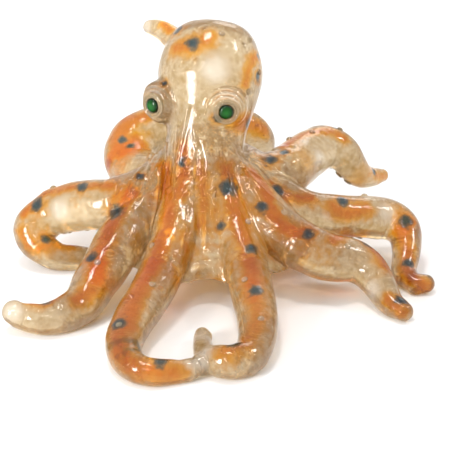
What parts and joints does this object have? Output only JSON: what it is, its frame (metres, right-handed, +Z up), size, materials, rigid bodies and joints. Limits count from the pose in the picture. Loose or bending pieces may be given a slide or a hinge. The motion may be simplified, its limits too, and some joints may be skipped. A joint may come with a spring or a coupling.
{
  "type": "octopus figurine",
  "caption": "Clear resin octopus ornament with a rounded head, painted spots and long curled arms that rest on a flat surface.",
  "frame": {"origin": "middle of the bounding box at the surface that the arms rest on", "axes": "+Z up, -Y the side that the figurine faces in the picture, +X to the right of that view"},
  "size_m": [0.1534, 0.1586, 0.0864],
  "materials": {
    "clear_resin": "gloss",
    "lid_resin": "gloss",
    "green_eye": "gloss",
    "bead_resin": "gloss"
  },
  "bodies": {
    "root": {"mantle": "clear_resin", "mantle_tip": "clear_resin", "arm_crown": "clear_resin", "arm_front_left": "clear_resin", "arm_front_right": "clear_resin", "arm_right_low": "clear_resin", "arm_right_middle": "clear_resin", "arm_right_high": "clear_resin", "arm_back": "clear_resin", "arm_left_high": "clear_resin", "arm_left_low": "clear_resin", "eye_lid_left": "lid_resin", "eye_lid_right": "lid_resin", "eye_left": "green_eye", "eye_right": "green_eye", "skin_beads": "bead_resin", "suckers_right_high": "bead_resin", "suckers_right_middle": "bead_resin", "suckers_left_high": "bead_resin", "suckers_back": "bead_resin"}
  },
  "joints": []
}
